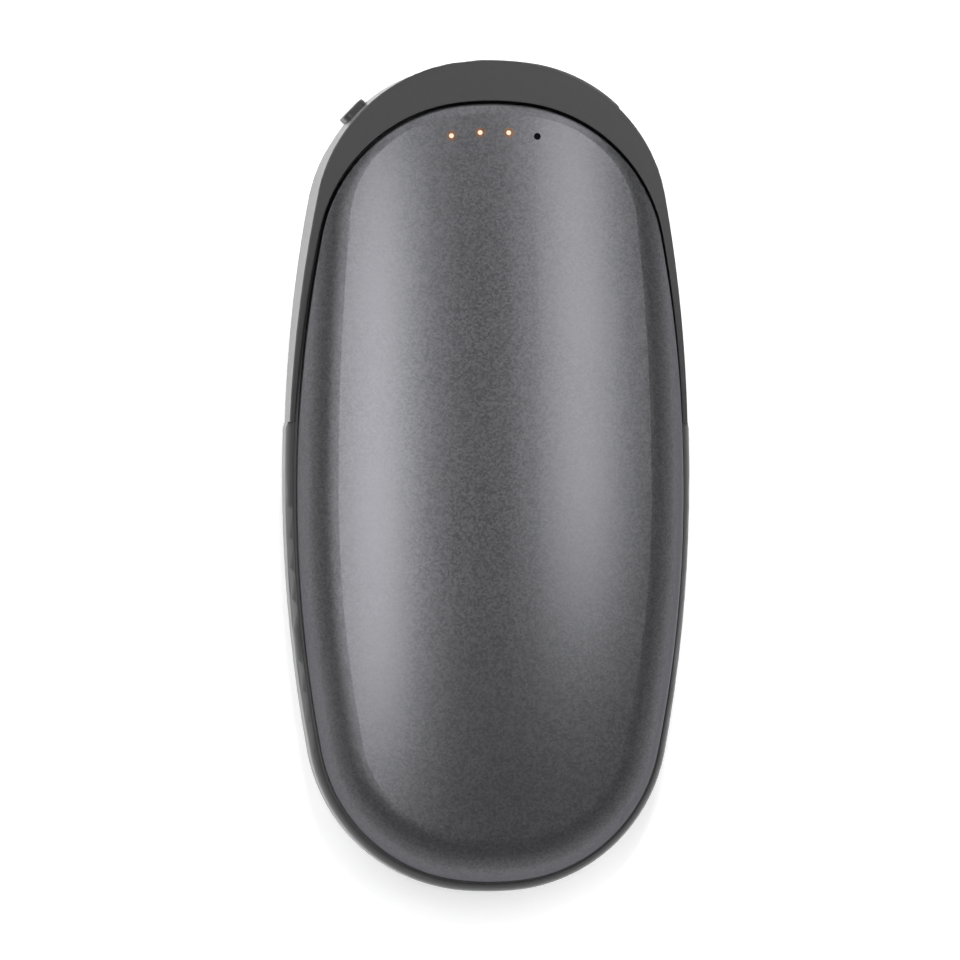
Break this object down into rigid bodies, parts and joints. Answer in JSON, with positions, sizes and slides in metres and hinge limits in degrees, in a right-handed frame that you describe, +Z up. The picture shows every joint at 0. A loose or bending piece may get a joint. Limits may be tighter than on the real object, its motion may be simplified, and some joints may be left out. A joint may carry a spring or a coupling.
{
  "type": "rechargeable hand warmer",
  "caption": "Oval pocket hand warmer: domed metal covers on a moulded frame with a raised collar, a side power button, status lights and a flap over the charging port.",
  "frame": {"origin": "under the middle of the object, on the surface that its rear cover lies on", "axes": "+Z up, out of the front cover; +Y along the length, towards the collar; +X to the right as the front is seen with the collar up"},
  "size_m": [0.054, 0.11, 0.0266],
  "materials": {
    "cover_metal": "bead-blasted, dark grey anodised",
    "frame_plastic": "fine matt, dark grey",
    "seal_rubber": "black",
    "button_plastic": "fine matt, near black",
    "flap_rubber": "matt, dark grey",
    "heater_film": "amber film",
    "cell_wrap": "shrink sleeve",
    "nickel": "plain",
    "inner_plastic": "plain moulded",
    "steel": "zinc plated",
    "board": "green solder mask",
    "light_clear": "clear moulded",
    "light_chip": "white",
    "chip_plastic": "moulded",
    "port_steel": "drawn"
  },
  "bodies": {
    "housing": {"front_cover": "cover_metal", "rear_cover": "cover_metal", "mid_frame": "frame_plastic", "front_seal": "seal_rubber", "rear_seal": "seal_rubber", "front_heater": "heater_film", "rear_heater": "heater_film", "temperature_sensor": "chip_plastic", "left_cell": "cell_wrap", "right_cell": "cell_wrap", "positive_strip": "nickel", "negative_strip": "nickel", "cell_cradle": "inner_plastic", "frame_screws": "steel", "circuit_board": "board", "status_lights": "light_chip", "light_guide": "light_clear", "power_coil": "chip_plastic", "control_chip": "chip_plastic", "charge_chip": "chip_plastic", "switch_body": "chip_plastic", "port_shell": "port_steel", "port_tongue": "chip_plastic"},
    "button": {"power_button": "button_plastic", "switch_plunger": "button_plastic"},
    "flap": {"port_flap": "flap_rubber"}
  },
  "joints": [
    {"name": "button_press", "type": "slide", "parent": "housing", "child": "button", "axis": [0.7193, -0.6947, 0], "range_m": [0, 0.0003], "stiffness_N_per_m": 5000},
    {"name": "flap_hinge", "type": "hinge", "parent": "housing", "child": "flap", "pos_m": [0.01666, 0.0487, 0.0131], "axis": [0, 0, -1], "range_deg": [0, 90]}
  ]
}
